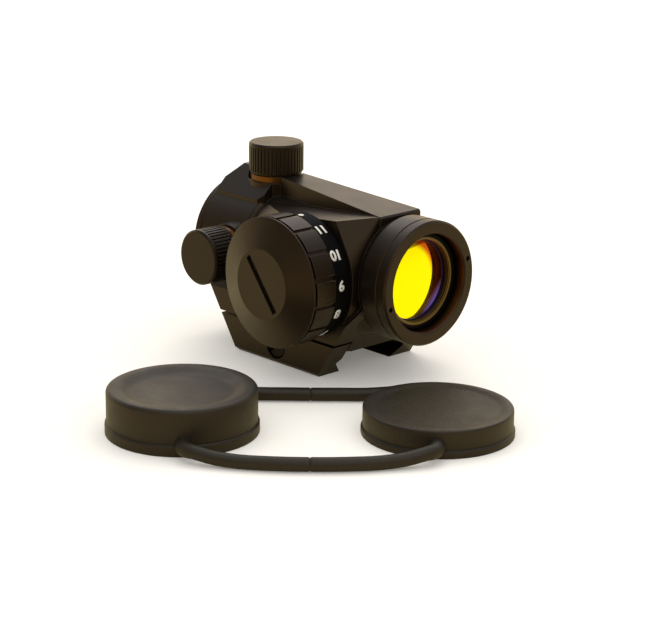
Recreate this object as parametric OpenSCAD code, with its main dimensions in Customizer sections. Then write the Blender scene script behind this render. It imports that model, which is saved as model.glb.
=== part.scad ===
// Compact red dot finder on a rail clamp, with its rubber lens covers lying in front of it.
// X points forward along the line of sight, Y to the left and Z up, in millimetres.
// The origin is the middle of the rail seat.

/* [Optics] */
// Radius of the objective lens
lens_r = 9.95; // [9:0.05:11]
// Thickness of the objective lens
lens_t = 3; // [2:0.1:4]
// Width of the ledge that the lens sits on
lens_ledge = 0.75; // [0.5:0.05:1]
// Distance from the objective rim back to the front of the inner tube
lens_recess = 2.7; // [2:0.1:4]
// Thickness of the ring that holds the lens
retainer_t = 2.2; // [1:0.1:2.4]
// Thickness of the eyepiece window
window_t = 1.6; // [1.2:0.1:2.4]

/* [Inner tube] */
// Wall of the inner tube
tube_wall = 1; // [0.8:0.1:1.3]
// Wall of the lens cell at the front of the inner tube
cell_wall = 0.65; // [0.5:0.05:0.9]
// Room between the inner tube and the main bore
tube_play = 1.4; // [1.2:0.1:2]
// Wall of the pivot ring round the inner tube
ring_wall = 1; // [0.8:0.1:1.4]
// Width of the pivot ring
ring_w = 3.2; // [2.4:0.1:4]
// Length of the inner tube behind the turret axis
tube_tail = 4.3; // [3:0.1:6]

/* [Housing] */
// Height of the line of sight above the rail seat
axis_h = 17.7; // [17:0.1:20]
// Distance from the rail centre to the objective rim
front_x = 33.7; // [33:0.1:38]
// Distance from the rail centre to the eyepiece rim
rear_len = 30.5; // [29.5:0.1:34]
// Wall of the objective bell outside its thread
bell_wall = 2; // [1.6:0.1:3]
// Wall of the eyepiece bell outside its thread
rear_bell_wall = 1.8; // [1.6:0.1:3]
// Wall of the waist outside the main bore
waist_wall = 1.4; // [1.2:0.1:2]
// Length of the objective barrel
barrel_len = 7.4; // [6.5:0.1:8.5]
// Length of the cone behind the objective barrel
collar_len = 1.7; // [1:0.1:3]
// Length of the eyepiece bell
rear_bell_len = 18; // [17:0.1:20]
// Rounding at the front edge of the eyepiece bell
bell_round = 1.2; // [0.6:0.1:1.6]
// Visible length of the objective bezel
bezel_len = 2.7; // [2:0.1:3.5]
// Length of the objective bezel's thread
bezel_thread = 5; // [4:0.1:6]
// Visible length of the eyepiece bezel
rear_bezel_len = 2.2; // [1.6:0.1:3]
// Distance from the line of sight to the spanner holes
spanner_pcr = 12.55; // [12:0.05:13]

/* [Top platform] */
// Front edge of the platform, ahead of the rail centre
platform_front = 24; // [22:0.1:25.5]
// Width of the platform round the elevation turret
platform_w = 17.2; // [16:0.1:18.5]
// Slope of the platform, down towards the front
platform_slope = 4.3; // [2:0.1:5]
// Height of the platform's front edge above the objective bell
platform_rise = 0.15; // [0:0.05:0.6]
// How far the 45 degree flanks clear the bells
flank_rise = 0.4; // [0.2:0.05:0.8]
// Slope of the shelf beside the platform, down towards the back
shelf_slope = 4.7; // [3.5:0.1:6]
// Length of the ramp at the back of the platform
ramp_len = 3.1; // [2:0.1:4]

/* [Turrets] */
// Position of both turret axes, behind the rail centre
turret_back = 16.7; // [15.5:0.1:18]
// Radius of the turret bosses
boss_r = 6.5; // [6.4:0.1:7.5]
// Height of the turret bosses above the bell
boss_h = 1.2; // [0.8:0.1:2]
// Radius of the brass collar
collar_r = 6; // [5.8:0.1:6.4]
// Height of the brass collar
collar_h = 1.4; // [1:0.1:2]
// Radius of the thread that the cap screws on to
neck_r = 5; // [4.8:0.1:5.3]
// Length of that thread
neck_len = 3.8; // [3.4:0.1:5]
// Radius of the adjusting drum
drum_r = 3.85; // [3.5:0.05:4.1]
// Radius of the plunger that moves the inner tube
plunger_r = 1.5; // [1:0.1:1.8]
// Radius over the cap's ribs
cap_r = 6.4; // [6.3:0.05:7]
// Height of the turret cap
cap_h = 7.2; // [6.6:0.1:8.5]
// Number of ribs round the cap
cap_ribs = 44; // [24:1:56]
// Depth of the gaps between the ribs
cap_rib_depth = 0.3; // [0.15:0.05:0.4]

/* [Brightness dial] */
// Position of the dial's axis, ahead of the rail centre
dial_x = 10; // [8:0.1:10.5]
// Radius of the coin cell
battery_r = 10; // [8:0.1:10.5]
// Thickness of the coin cell
battery_t = 3.2; // [2.5:0.1:3.6]
// Wall of the battery tray
tray_wall = 1.2; // [0.8:0.1:1.6]
// Wall of the dial outside the battery cap's thread
dial_wall = 2; // [1.8:0.1:3]
// Length of the dial along its axis
dial_len = 9.8; // [9.6:0.1:12]
// Length of the band that carries the numbers
dial_band = 4.4; // [3.5:0.1:5.5]
// Number of grip grooves
dial_grooves = 15; // [10:1:24]
// Width of a grip groove
groove_w = 1; // [0.6:0.1:2.4]
// Depth of a grip groove
groove_d = 0.5; // [0.3:0.05:0.8]
// Radius of the hub that the dial turns on
hub_r = 8.6; // [7.5:0.1:9]
// Thickness of the dial's web
web_t = 2.1; // [1.8:0.1:3]
// Number of switch positions
positions = 13; // [8:1:16]
// Radius of the flat in the middle of the battery cap
cap_disc_r = 7.9; // [6:0.1:9]
// Height of the battery cap's cone
cap_cone_h = 2.3; // [1.6:0.1:3]
// Width of the coin slot
slot_w = 1.5; // [1:0.1:2]
// Length of the coin slot
slot_len = 14.2; // [10:0.1:15]
// Depth of the coin slot
slot_d = 1; // [0.6:0.1:1.4]
// Angle of the coin slot from the front, as seen from outside
slot_angle = 128; // [0:1:180]

/* [Rail clamp] */
// Width of the rail's top
rail_top_w = 15.7; // [15:0.1:17]
// Greatest width of the rail
rail_w = 21.2; // [20.6:0.1:22]
// Width of the base
base_w = 30; // [29:0.1:33]
// Half length of the base at its foot
foot_half = 13.7; // [12:0.1:16]
// Slope of the base's ends from upright
end_slope = 33.5; // [20:0.5:40]
// Height of the seam above the rail seat
seam_h = 3.15; // [2.8:0.05:4]
// Width of the seam
seam_w = 0.6; // [0.4:0.05:0.9]
// Radius of the cross bolt
bolt_r = 1.75; // [1.5:0.05:2]
// Depth of the cross bolt's axis below the rail seat
bolt_drop = 1.2; // [1:0.05:1.5]
// Radius of the cross bolt's head
head_r = 3; // [2.5:0.1:3.2]
// Thickness of the cross bolt's head
head_t = 2.1; // [1.6:0.1:2.4]

/* [Lens covers] */
// Wall of the rubber covers
cover_wall = 1.55; // [1.2:0.05:2]
// Height of the deep cover, for the objective
deep_h = 9.6; // [8:0.1:12]
// Height of the shallow cover, for the eyepiece
shallow_h = 5.8; // [5.6:0.1:7.5]
// Thickness of the covers' tops
cover_top = 1; // [0.8:0.05:1.3]
// Depth of the dish in the deep cover's top
dish_d = 0.9; // [0.5:0.05:1.3]
// Width of the rim round that dish
dish_rim = 3.3; // [2:0.1:4.5]
// Width of the bead round the covers' mouths
bead_w = 0.35; // [0.2:0.05:0.6]
// Distance between the covers' centres
cover_spacing = 52.6; // [45:0.1:56]
// Distance from the rail centre to the middle between the covers
cover_away = 55.27; // [53:0.01:70]
// Radius of the stubs that hold the cords
stub_r = 1.65; // [1.6:0.05:2]
// Radius of the elastic cords
cord_r = 1.45; // [1.2:0.05:1.5]

/* [Hidden] */
$fn = 96;
// Clearances: running fits and threads, joints between fixed pieces, and free room
fit_gap = 0.05;
joint_gap = 0.1;
free_gap = 0.3;
// Overshoot of a cut past the face that it opens, and the usual bevel
over = 1;
edge = 0.4;

// Radii round the line of sight
tube_in_r = lens_r - lens_ledge;
tube_r = tube_in_r + tube_wall;
cell_r = lens_r + cell_wall;
pivot_r = cell_r + free_gap;
bore_r = tube_r + tube_play;
seat_r = max(pivot_r + ring_wall + 2 * fit_gap, bore_r + edge);
bell_r = seat_r + bell_wall;
rear_bell_r = seat_r + rear_bell_wall;
waist_r = bore_r + waist_wall;
aperture_r = pivot_r + 0.14;

// Stations along the line of sight
nose_x = front_x - bezel_len - joint_gap;
bezel_end = nose_x - bezel_thread;
ring_gap = 0.3;
ring_front = bezel_end - ring_gap;
ring_rear = ring_front - ring_w;
pivot_x = (ring_front + ring_rear) / 2;
shoulder_x = ring_rear - ring_gap;
tube_front = front_x - lens_recess;
lens_front = tube_front - retainer_t;
lens_back = lens_front - lens_t;
barrel_x = front_x - barrel_len;
turret_x = -turret_back;
tube_rear = turret_x - tube_tail;
rear_x = -rear_len;
tail_x = rear_x + rear_bezel_len + joint_gap;
rear_bell_x = rear_x + rear_bell_len;
oring_r = 0.4;
spanner_r = 0.6;
spanner_d = 1;
spanner_angle = 17;
face_seal_pcr = seat_r + 2 * oring_r;
face_seal_d = 2 * oring_r - fit_gap;
rear_thread = 1.75;
window_back = tail_x + rear_thread;
window_seal_x = window_back + oring_r + fit_gap;
window_x = window_seal_x + oring_r + fit_gap;
window_seat = window_x + window_t;

// Top platform, heights from the line of sight
platform_root = 4;
platform_low = bell_r - platform_root;
flank_sum = sqrt(2) * (bell_r + flank_rise);
nose_front = platform_front + edge;
pod_front = barrel_x - joint_gap;
ramp_foot = bell_r + 0.5;
function platform_top(x) = bell_r + platform_rise + (platform_front - x) * tan(platform_slope);
function ridge_half(x) = flank_sum - platform_top(x) - fit_gap;
function shelf_top(x) = platform_top(platform_front) - (platform_front - x) * tan(shelf_slope);

// Turret stations from the line of sight
turret_seat = bell_r + boss_h;
collar_top = turret_seat + collar_h;
neck_top = collar_top + neck_len;
bush_floor_t = 0.8;
drum_floor = turret_seat + bush_floor_t;
drum_lip = 0.75;
drum_head_r = drum_r + drum_lip;
drum_head_t = 0.95;
drum_top = neck_top + fit_gap + drum_head_t;
adjust_pitch = 0.5;
adjust_turns = 1.5;
adjust_travel = adjust_pitch * adjust_turns;
plunger_grip = 3.3;
plunger_top = drum_floor + plunger_grip;
shank_r = neck_r - 0.2;
shank_low = bore_r + 0.7;
cap_gap = 0.2;
cap_low = collar_top + cap_gap;
cap_top = cap_low + cap_h;
rib_flank = 15;
cap_seal_r = 0.32;
cap_seal_pcr = neck_r + fit_gap + cap_seal_r;
driver_slot = 1;

// Dial stations from the line of sight, outward
base_half = base_w / 2;
dial_seat = base_half - joint_gap;
dial_low = dial_seat + free_gap;
web_top = dial_low + web_t;
clip_t = 0.5;
clip_depth = 0.6;
clip_low = web_top + cap_gap;
hub_top = clip_low + clip_t + edge;
board_t = 0.8;
board_top = hub_top + board_t;
tray_low = board_top + free_gap;
tray_floor = tray_low + 0.4;
tray_h = 2.9;
tray_top = tray_low + tray_h;
tray_ledge = tray_top - 0.4;
battery_low = tray_floor + fit_gap;
battery_top = battery_low + battery_t;
tray_in_r = battery_r + 0.15;
cavity_r = tray_in_r + tray_wall + fit_gap;
thread_r = cavity_r + 1.2;
dial_r = thread_r + dial_wall;
band_r = dial_r - groove_d;
dial_top = dial_low + dial_len;
cap_thread_low = tray_top + cap_gap;
cap_ceiling = battery_top + 0.6;
dial_seal_r = 0.36;
dial_seal_pcr = thread_r + 0.7;
seal_groove = 0.6;
flange_low = dial_top + 2 * free_gap;
flange_top = flange_low + 0.3;
boss_rim = 3.8;
boss_root = 3;
boss_reach = hub_r + boss_rim;
pod_r = dial_r + 0.3;
pod_corner = 58.3;
pod_corner_r = pod_r + 1.7;
pod_post_r = 0.4;
pod_low = seam_h + free_gap;
wire_r = 1.5;
detent_r = 0.6;
detent_z = (dial_low + web_top) / 2;
ball_pcr = hub_r + detent_r + fit_gap / 2;
pocket_r = cavity_r + 1;
board_r = battery_r + 0.6;

// Rail clamp
jaw_gap = 0.15;
lip_y = rail_top_w / 2 + jaw_gap;
apex_y = rail_w / 2 + jaw_gap;
apex_z = lip_y - apex_y;
foot_z = 2 * apex_z;
plate_y = apex_y - 1.15;
block_y = plate_y - free_gap;
seat_relief = 0.3;
side_drop = 9.2;
side_z = axis_h - side_drop;
crown_drop = 4.2;
crown_z = axis_h - crown_drop;
crown_y = bore_r - 0.6;
head_seat_y = base_half - head_t - 0.3;

// Lens covers, heights from the ground
cover_in_r = bell_r + fit_gap;
cover_r = cover_in_r + cover_wall;
cover_bearing = -46;
cover_mid = cover_away * [cos(cover_bearing), sin(cover_bearing)];
cover_row_angle = 47;
deep_bead_h = 2.3;
shallow_bead_h = 1.5;
bead_step = 0.3;
cover_round = 0.8;
stub_z = 2.6;
stub_angle = 86;
stub_len = 1.5;
elbow_r = 3.2;
front_turn = 68;
back_turn = 84;

// Half of each cord's route in the covers' own frame, from its stub to the middle
front_half = [
    [-23.2, -19.3, 2.6], [-21.5, -19.9, 2.3], [-18.5, -20.8, 1.8], [-14, -21.8, 1.5],
    [-9.5, -22.5, 1.5], [-4.5, -22.9, 1.5]];
back_half = [
    [-22.4, 19.5, 2.6], [-20.5, 19.5, 2.3], [-17, 19.4, 1.8], [-12, 19.2, 1.5],
    [-6, 19.1, 1.5]];
front_route = mirrored(front_half, [0, -23, 1.5]);
back_route = mirrored(back_half, [0, 19, 1.5]);

// Light source, below the line of sight on the dial's side
led_x = -14;
led_len = 4;
led_w = 3;
led_in = tube_in_r - 2.3;
led_out = tube_r - fit_gap;
led_mid = tube_in_r - 1.4;
led_angle = 45;

// Route of its wire: forward beside the inner tube, round to the hub and out to the switch board
lead_r = 0.3;
lead_turn = 88;
lead_pcr = (tube_r + bore_r) / 2;
function beside_tube(x, r, a) = [x, -r * sin(a), axis_h - r * cos(a)];
lead_route = concat(
    [beside_tube(led_x, led_out + lead_r + fit_gap, led_angle)],
    [for (t = [0.2:0.2:0.8])
        beside_tube(led_x + t * (dial_x - led_x), lead_pcr, led_angle + (90 - led_angle) * t * t)],
    [beside_tube(dial_x - wire_r / 2, lead_pcr, lead_turn)],
    [[dial_x, -waist_r, axis_h], [dial_x, -hub_top, axis_h]]);

BLACK = "#1d1b19";
DARK = "#2a2723";
BRASS = "#a9743b";
STEEL = "#9a9ca0";
RUBBER = "#3b372f";

// Points of an arc round c, from angle a0 to a1
function arc(c, r, a0, a1, n = 6) =
    [for (i = [0:n]) let (a = a0 + (a1 - a0) * i / n) c + r * [cos(a), sin(a)]];

// A whole route from its half, the same on both sides of the middle point
function mirrored(half, middle) =
    concat(half, [middle], [for (i = [len(half) - 1:-1:0]) [-half[i].x, half[i].y, half[i].z]]);

// Point at t from 0 to 1 of the smooth curve between route points i and i + 1
function on_curve(p, i, t) =
    let (
        a = p[max(i - 1, 0)],
        b = p[i],
        c = p[i + 1],
        d = p[min(i + 2, len(p) - 1)])
    0.5 * (2 * b + (c - a) * t + (2 * a - 5 * b + 4 * c - d) * t * t + (3 * b - a - 3 * c + d) * t * t * t);
function smooth(p, steps) =
    concat([for (i = [0:len(p) - 2]) for (k = [0:steps - 1]) on_curve(p, i, k / steps)], [p[len(p) - 1]]);
function unit(v) = v / norm(v);

// Solid tube along a route, as one closed skin of triangles
module swept(route, r, sides) {
    n = len(route);
    skin = [
        for (i = [0:n - 1])
            let (
                along = unit(route[min(i + 1, n - 1)] - route[max(i - 1, 0)]),
                side = unit(cross(along, [0, 0, 1])),
                rise = cross(side, along))
            for (k = [0:sides - 1])
                route[i] + r * (side * cos(360 * k / sides) + rise * sin(360 * k / sides))];
    walls = [
        for (i = [0:n - 2])
            for (k = [0:sides - 1])
                let (a = i * sides + k, b = i * sides + (k + 1) % sides)
                for (f = [[a, b, a + sides], [b, b + sides, a + sides]]) f];
    ends = [
        for (k = [1:sides - 2])
            for (f = [[0, k + 1, k], [(n - 1) * sides, (n - 1) * sides + k, (n - 1) * sides + k + 1]]) f];
    polyhedron(points = skin, faces = concat(walls, ends));
}

// Frames: the line of sight, the two turrets, the dial and the row of covers
module on_axis() {
    translate([0, 0, axis_h]) rotate([0, 90, 0]) children();
}
module on_elevation() {
    translate([turret_x, 0, axis_h]) children();
}
module on_windage() {
    translate([turret_x, 0, axis_h]) rotate([90, 0, 0]) children();
}
module on_dial() {
    translate([dial_x, 0, axis_h]) rotate([90, 0, 0]) children();
}
module on_cover_row() {
    translate([cover_mid.x, cover_mid.y, foot_z]) rotate([0, 0, cover_row_angle]) children();
}
module on_objective_cover() {
    on_cover_row() translate([-cover_spacing / 2, 0, 0]) children();
}
module on_eyepiece_cover() {
    on_cover_row() translate([cover_spacing / 2, 0, 0]) mirror([1, 0, 0]) children();
}

// Round bar and ring between two stations of the frame that they stand in
module bar(r, z0, z1) {
    translate([0, 0, z0]) cylinder(r = r, h = z1 - z0);
}
module ring(r_out, r_in, z0, z1) {
    difference() {
        bar(r_out, z0, z1);
        bar(r_in, z0 - over, z1 + over);
    }
}
module oring(pcr, r, z) {
    translate([0, 0, z]) rotate_extrude() translate([pcr, 0]) circle(r = r, $fn = 24);
}
// Bar with a bevelled edge at its far end
module bevelled(r, z0, z1, bevel) {
    bar(r, z0, z1 - bevel);
    translate([0, 0, z1 - bevel]) cylinder(r1 = r, r2 = r - bevel, h = bevel);
}
// Prism of a side view (x, z), standing across the part
module across(y0, y1) {
    translate([0, y1, 0]) rotate([90, 0, 0]) linear_extrude(y1 - y0) children();
}
// Prism of a front view (y, z), running along the part
module along(x0, x1) {
    translate([x0, 0, 0]) rotate([90, 0, 90]) linear_extrude(x1 - x0) children();
}

// Side view of the base between two heights, as long as its sloped ends make it
module base_side(z0, z1) {
    half0 = foot_half + (z0 - foot_z) * tan(end_slope);
    half1 = foot_half + (z1 - foot_z) * tan(end_slope);
    polygon([[-half0, z0], [half0, z0], [half1, z1], [-half1, z1]]);
}

module platform_body() {
    ramp_x = tail_x + ramp_len;
    intersection() {
        along(tail_x, nose_front) translate([0, axis_h]) polygon([
            [-platform_w / 2, 0], [-platform_w / 2, flank_sum - platform_w / 2], [0, flank_sum],
            [platform_w / 2, flank_sum - platform_w / 2], [platform_w / 2, 0]]);
        across(-platform_w, platform_w) translate([0, axis_h]) polygon([
            [tail_x, platform_low], [tail_x, ramp_foot], [ramp_x, platform_top(ramp_x)],
            [platform_front, platform_top(platform_front)],
            [nose_front, platform_top(platform_front) - edge], [nose_front, platform_low]]);
        linear_extrude(axis_h + 3 * bell_r) polygon([
            [tail_x, -platform_w / 2], [rear_bell_x - bell_round, -platform_w / 2],
            [rear_bell_x, bell_round - platform_w / 2],
            [rear_bell_x, -ridge_half(rear_bell_x)], [platform_front, -ridge_half(platform_front)],
            [nose_front, -ridge_half(platform_front)],
            [nose_front, ridge_half(platform_front)], [platform_front, ridge_half(platform_front)],
            [rear_bell_x, ridge_half(rear_bell_x)], [rear_bell_x, platform_w / 2 - bell_round],
            [rear_bell_x - bell_round, platform_w / 2], [tail_x, platform_w / 2]]);
    }
}

// Blended mass behind the dial, from the eyepiece bell to the platform's nose, under a sloping shelf
module side_pod() {
    intersection() {
        hull() {
            on_dial() {
                bar(pod_r, dial_seat - over, dial_seat);
                rotate(pod_corner) translate([pod_corner_r, 0, 0])
                    bar(pod_post_r, dial_seat - over, dial_seat);
            }
            on_axis() {
                bar(waist_r, rear_bell_x, rear_bell_x + over);
                bar(waist_r, platform_front - 2 * over, platform_front - over);
            }
            translate([platform_front - pod_post_r, -ridge_half(platform_front), axis_h - waist_r / 2])
                cylinder(r = pod_post_r, h = waist_r / 2 + bell_r);
        }
        across(-base_half, base_half) polygon([
            [rear_bell_x, pod_low], [pod_front, pod_low], [pod_front, axis_h + shelf_top(pod_front)],
            [rear_bell_x, axis_h + shelf_top(rear_bell_x)]]);
    }
}

module base_body() {
    intersection() {
        across(-base_half, base_half) base_side(foot_z, crown_z);
        along(-base_w * 2, base_w * 2) polygon([
            [-base_half, seam_h], [-base_half, side_z], [-crown_y, crown_z], [crown_y, crown_z],
            [base_half, side_z], [base_half, foot_z], [lip_y, foot_z], [apex_y, apex_z], [lip_y, 0],
            [-lip_y, 0], [-lip_y, seat_relief], [-block_y, seat_relief], [-block_y, seam_h]]);
    }
}

module rear_bell_body() {
    on_axis() rotate_extrude() polygon(concat(
        [[0, tail_x], [rear_bell_r - edge / 2, tail_x], [rear_bell_r, tail_x + edge / 2]],
        arc([rear_bell_r - bell_round, rear_bell_x - bell_round], bell_round, 0, 90),
        [[0, rear_bell_x]]));
}

module housing() {
    color(BLACK) difference() {
        union() {
            on_axis() bar(waist_r, rear_bell_x - over, barrel_x);
            rear_bell_body();
            on_axis() {
                translate([0, 0, barrel_x - collar_len]) cylinder(r1 = waist_r, r2 = bell_r, h = collar_len);
                bevelled(bell_r, barrel_x, nose_x, edge / 2);
            }
            platform_body();
            side_pod();
            base_body();
            on_elevation() bar(boss_r, bore_r, turret_seat);
            on_windage() bar(boss_r, bore_r, turret_seat);
            on_dial() {
                bar(boss_reach, bore_r - boss_root, dial_seat);
                bar(hub_r, bore_r, hub_top);
            }
        }
        // Spot face for the elevation turret, and the turrets' threads
        on_elevation() bar(boss_r, turret_seat, turret_seat + 2 * boss_r);
        on_elevation() bar(shank_r + fit_gap, 0, turret_seat + over);
        on_windage() bar(shank_r + fit_gap, 0, turret_seat + over);
        // Main bore and the seats at both ends
        on_axis() {
            bar(bore_r, rear_x, front_x);
            bar(seat_r, shoulder_x, front_x);
            bar(seat_r, rear_x, window_seat);
        }
        // Groove for the objective seal
        on_axis() ring(face_seal_pcr + oring_r + fit_gap, face_seal_pcr - oring_r - fit_gap,
            nose_x - face_seal_d, nose_x + over);
        // Hub: wire hole, groove for the retainer and notches for the clicks
        on_dial() {
            bar(wire_r, 0, hub_top + over);
            ring(hub_r + over, hub_r - clip_depth, clip_low - fit_gap, clip_low + clip_t + fit_gap);
            for (i = [0:positions - 1])
                rotate(-90 + i * 360 / positions)
                    translate([hub_r + 0.15, 0, 0]) bar(0.5, dial_low, web_top);
        }
        // Cross bolt: the slot milled for it across the seat and its thread in the fixed jaw
        translate([-bolt_r - free_gap, -base_half, -over])
            cube([2 * (bolt_r + free_gap), base_half + lip_y + joint_gap,
                over + bolt_r - bolt_drop + free_gap]);
        translate([0, 0, -bolt_drop]) rotate([-90, 0, 0]) bar(bolt_r + fit_gap, 0, base_half + over);
    }
}

module objective_bezel() {
    color(BLACK) difference() {
        on_axis() {
            bevelled(bell_r, front_x - bezel_len + edge / 2, front_x, edge);
            translate([0, 0, front_x - bezel_len])
                cylinder(r1 = bell_r - edge / 2, r2 = bell_r, h = edge / 2);
            bar(seat_r - fit_gap, bezel_end, front_x - bezel_len);
        }
        on_axis() bar(aperture_r, bezel_end - over, front_x + over);
        on_axis() translate([0, 0, front_x - edge])
            cylinder(r1 = aperture_r, r2 = aperture_r + edge, h = edge);
        for (side = [-1, 1])
            on_axis() rotate(90 + spanner_angle) translate([side * spanner_pcr, 0, 0])
                bar(spanner_r, front_x - spanner_d, front_x + over);
    }
}

module objective_seal() {
    color(DARK) on_axis() oring(face_seal_pcr, oring_r, nose_x - face_seal_d + oring_r + fit_gap / 2);
}

module eyepiece_bezel() {
    color(BLACK) difference() {
        on_axis() {
            translate([0, 0, rear_x]) cylinder(r1 = rear_bell_r - edge, r2 = rear_bell_r, h = edge);
            bar(rear_bell_r, rear_x + edge, rear_x + rear_bezel_len - edge / 2);
            translate([0, 0, rear_x + rear_bezel_len - edge / 2])
                cylinder(r1 = rear_bell_r, r2 = rear_bell_r - edge / 2, h = edge / 2);
            bar(seat_r - fit_gap, rear_x + rear_bezel_len, window_back);
        }
        on_axis() bar(aperture_r, rear_x - over, window_back + over);
    }
}

module eyepiece_window() {
    color("#8fb3c0", 0.5) on_axis() bar(seat_r - fit_gap, window_x, window_seat);
}

module eyepiece_seal() {
    color(DARK) on_axis() oring(seat_r - fit_gap - oring_r, oring_r, window_seal_x);
}

// Room in the inner tube's wall for the light source, or its holder
module led_block(gap) {
    rotate([-led_angle, 0, 0]) translate([led_x - led_len / 2 - gap, -led_w / 2 - gap, -tube_r - over])
        cube([led_len + 2 * gap, led_w + 2 * gap, tube_r + over - led_in]);
}

module inner_tube() {
    color(BLACK) difference() {
        on_axis() {
            bar(tube_r, tube_rear, ring_rear - 0.4);
            bar(pivot_r, ring_rear - 0.4, ring_front);
            bar(cell_r, ring_front, tube_front);
        }
        on_axis() bar(tube_in_r, tube_rear - over, tube_front + over);
        on_axis() bar(lens_r + fit_gap, lens_back, tube_front + over);
        translate([0, 0, axis_h]) led_block(fit_gap);
    }
}

module objective_lens() {
    bulge_r = 150;
    bulge = 0.25;
    color("#f2d200", 0.9) on_axis() {
        bar(lens_r, lens_back + fit_gap, lens_front);
        intersection() {
            bar(tube_in_r - 2 * joint_gap, lens_back - over, lens_front);
            translate([0, 0, lens_back - bulge + bulge_r]) sphere(r = bulge_r, $fn = 200);
        }
    }
}

module lens_retainer() {
    color(BLACK) on_axis() difference() {
        bar(lens_r, lens_front, tube_front - 2 * joint_gap);
        bar(tube_in_r, lens_front - over, tube_front);
        translate([0, 0, lens_front + retainer_t / 2])
            cylinder(r1 = tube_in_r, r2 = tube_in_r + edge, h = retainer_t);
    }
}

module pivot_ring() {
    color(STEEL) difference() {
        intersection() {
            translate([pivot_x, 0, axis_h]) sphere(r = seat_r - fit_gap, $fn = 96);
            on_axis() bar(seat_r, ring_rear, ring_front);
        }
        on_axis() bar(pivot_r + fit_gap, ring_rear - over, ring_front + over);
    }
}

// Bowed leaf on the side away from both plungers
module tube_spring() {
    leaf_t = 0.25;
    leaf_w = 4;
    half = 6;
    steps = 6;
    low = tube_r + fit_gap;
    high = sqrt(bore_r * bore_r - leaf_w * leaf_w / 4) - leaf_t - fit_gap;
    function bow(u) = low + (high - low) * (1 - cos(90 * u));
    upper = [for (i = [-steps:steps]) [i / steps * half, bow(i / steps) + leaf_t]];
    lower = [for (i = [steps:-1:-steps]) [i / steps * half, bow(i / steps)]];
    color(STEEL) translate([turret_x, 0, axis_h]) rotate([-135, 0, 0])
        across(-leaf_w / 2, leaf_w / 2) polygon(concat(upper, lower));
}

module led_holder() {
    color(DARK) translate([0, 0, axis_h]) intersection() {
        led_block(0);
        rotate([0, 90, 0]) bar(led_out, led_x - led_len, led_x + led_len);
    }
}

module led_emitter() {
    dome_r = 0.6;
    color("#b02418") translate([0, 0, axis_h]) rotate([-led_angle, 0, 0])
        translate([led_x + led_len / 2, 0, -led_mid]) rotate([0, 90, 0]) {
            bar(dome_r, 0, 0.5);
            intersection() {
                translate([0, 0, 0.5]) sphere(r = dome_r, $fn = 32);
                bar(dome_r, 0.4, 0.5 + 2 * dome_r);
            }
        }
}

module led_lead() {
    color(BRASS) swept(smooth(lead_route, 3), lead_r, 6);
}

// Turret pieces, standing on the line of sight with their axis up
module turret_bush() {
    color(BRASS) difference() {
        union() {
            bar(shank_r, shank_low, turret_seat);
            bar(collar_r, turret_seat, collar_top);
            bar(neck_r, collar_top, neck_top);
        }
        bar(plunger_r + fit_gap, 0, neck_top);
        bar(drum_r + fit_gap, drum_floor, neck_top + over);
    }
}

module turret_drum() {
    color(STEEL) difference() {
        union() {
            bar(drum_r, drum_floor + fit_gap, neck_top + fit_gap);
            bevelled(drum_head_r, neck_top + fit_gap, drum_top, 0.2);
        }
        bar(plunger_r + fit_gap, 0, plunger_top + adjust_travel + fit_gap);
        translate([-drum_head_r - over, -driver_slot / 2, drum_top - 0.6])
            cube([2 * (drum_head_r + over), driver_slot, over]);
    }
}

module turret_plunger() {
    color(STEEL) bar(plunger_r, tube_r + fit_gap, plunger_top);
}

module turret_cap_seal() {
    color(DARK) oring(cap_seal_pcr, cap_seal_r, collar_top + fit_gap + cap_seal_r);
}

module turret_cap() {
    ribs_low = cap_low + 0.5;
    ribs_top = cap_top - 0.9;
    root_r = cap_r - cap_rib_depth;
    root_w = 0.3 * 2 * PI * root_r / cap_ribs;
    flare = cap_r + over - root_r;
    color(BLACK) difference() {
        union() {
            bar(root_r - joint_gap, cap_low, ribs_low);
            bevelled(cap_r, ribs_low, cap_top, edge);
        }
        translate([0, 0, cap_low]) linear_extrude(ribs_top - cap_low)
            for (i = [0:cap_ribs - 1])
                rotate(i * 360 / cap_ribs) translate([root_r, 0]) polygon([
                    [0, -root_w / 2], [0, root_w / 2],
                    [flare, root_w / 2 + flare * tan(rib_flank)],
                    [flare, -root_w / 2 - flare * tan(rib_flank)]]);
        bar(neck_r + joint_gap, cap_low - over, neck_top + edge);
        bar(cap_seal_pcr + cap_seal_r + fit_gap, cap_low - over, cap_low + 0.9);
        bar(drum_head_r + free_gap, cap_low, drum_top + 0.9);
    }
}

module elevation_bush() {
    on_elevation() turret_bush();
}
module elevation_drum() {
    on_elevation() turret_drum();
}
module elevation_plunger() {
    on_elevation() turret_plunger();
}
module elevation_cap_seal() {
    on_elevation() turret_cap_seal();
}
module elevation_cap() {
    on_elevation() turret_cap();
}
module windage_bush() {
    on_windage() turret_bush();
}
module windage_drum() {
    on_windage() turret_drum();
}
module windage_plunger() {
    on_windage() turret_plunger();
}
module windage_cap_seal() {
    on_windage() turret_cap_seal();
}
module windage_cap() {
    on_windage() turret_cap();
}

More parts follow.
